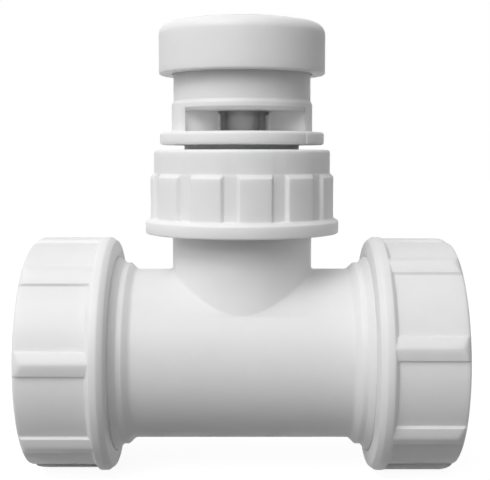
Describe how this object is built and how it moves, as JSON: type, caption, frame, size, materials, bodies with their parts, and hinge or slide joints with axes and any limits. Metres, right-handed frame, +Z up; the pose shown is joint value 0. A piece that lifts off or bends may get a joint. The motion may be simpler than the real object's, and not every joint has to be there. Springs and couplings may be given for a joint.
{
  "type": "air admittance valve",
  "caption": "Air admittance valve with domed cap and side windows, held by a padded nut in the branch of a compression tee with large ribbed nuts for waste pipe.",
  "frame": {"origin": "where the run's axis crosses the branch's axis", "axes": "+X along the run to the right-hand nut, +Z up the branch to the valve's cap, +Y away from the viewer of the front"},
  "size_m": [0.1148, 0.064, 0.1238],
  "materials": {
    "white_plastic": "smooth moulded white plastic",
    "natural_plastic": "plain moulded plastic, uncoloured",
    "black_rubber": "smooth black rubber",
    "grey_rubber": "soft dark grey rubber"
  },
  "bodies": {
    "tee": {"tee_body": "white_plastic", "branch_washer": "black_rubber"},
    "left_sleeve": {"left_seal": "black_rubber", "left_slip_washer": "natural_plastic"},
    "left_nut": {"left_nut": "white_plastic"},
    "right_sleeve": {"right_seal": "black_rubber", "right_slip_washer": "natural_plastic"},
    "right_nut": {"right_nut": "white_plastic"},
    "head": {"valve_body": "white_plastic", "valve_cap": "white_plastic", "clamp_collar": "natural_plastic"},
    "branch_nut": {"branch_nut": "white_plastic"},
    "membrane_group": {"membrane": "grey_rubber", "membrane_carrier": "natural_plastic", "membrane_retainer": "natural_plastic"}
  },
  "joints": [
    {"name": "left_nut_travel", "type": "slide", "parent": "tee", "child": "left_sleeve", "axis": [-1, 0, 0], "range_m": [0, 0.012]},
    {"name": "left_nut_turn", "type": "hinge", "parent": "left_sleeve", "child": "left_nut", "pos_m": [-0.046, 0, 0], "axis": [-1, 0, 0], "range_deg": [0, 1080]},
    {"name": "right_nut_travel", "type": "slide", "parent": "tee", "child": "right_sleeve", "axis": [1, 0, 0], "range_m": [0, 0.012]},
    {"name": "right_nut_turn", "type": "hinge", "parent": "right_sleeve", "child": "right_nut", "pos_m": [0.046, 0, 0], "axis": [1, 0, 0], "range_deg": [0, 1080]},
    {"name": "head_lift", "type": "slide", "parent": "tee", "child": "head", "axis": [0, 0, 1], "range_m": [0, 0.009]},
    {"name": "branch_nut_turn", "type": "hinge", "parent": "head", "child": "branch_nut", "pos_m": [0, 0, 0.045], "axis": [0, 0, 1], "range_deg": [0, 1080]},
    {"name": "membrane_lift", "type": "slide", "parent": "head", "child": "membrane_group", "axis": [0, 0, 1], "range_m": [0, 0.004]}
  ],
  "couplings": [
    {"joint": "left_nut_travel", "follows": "left_nut_turn", "m_per_rad": 0.0006366},
    {"joint": "right_nut_travel", "follows": "right_nut_turn", "m_per_rad": 0.0006366},
    {"joint": "head_lift", "follows": "branch_nut_turn", "m_per_rad": 0.00047745}
  ]
}
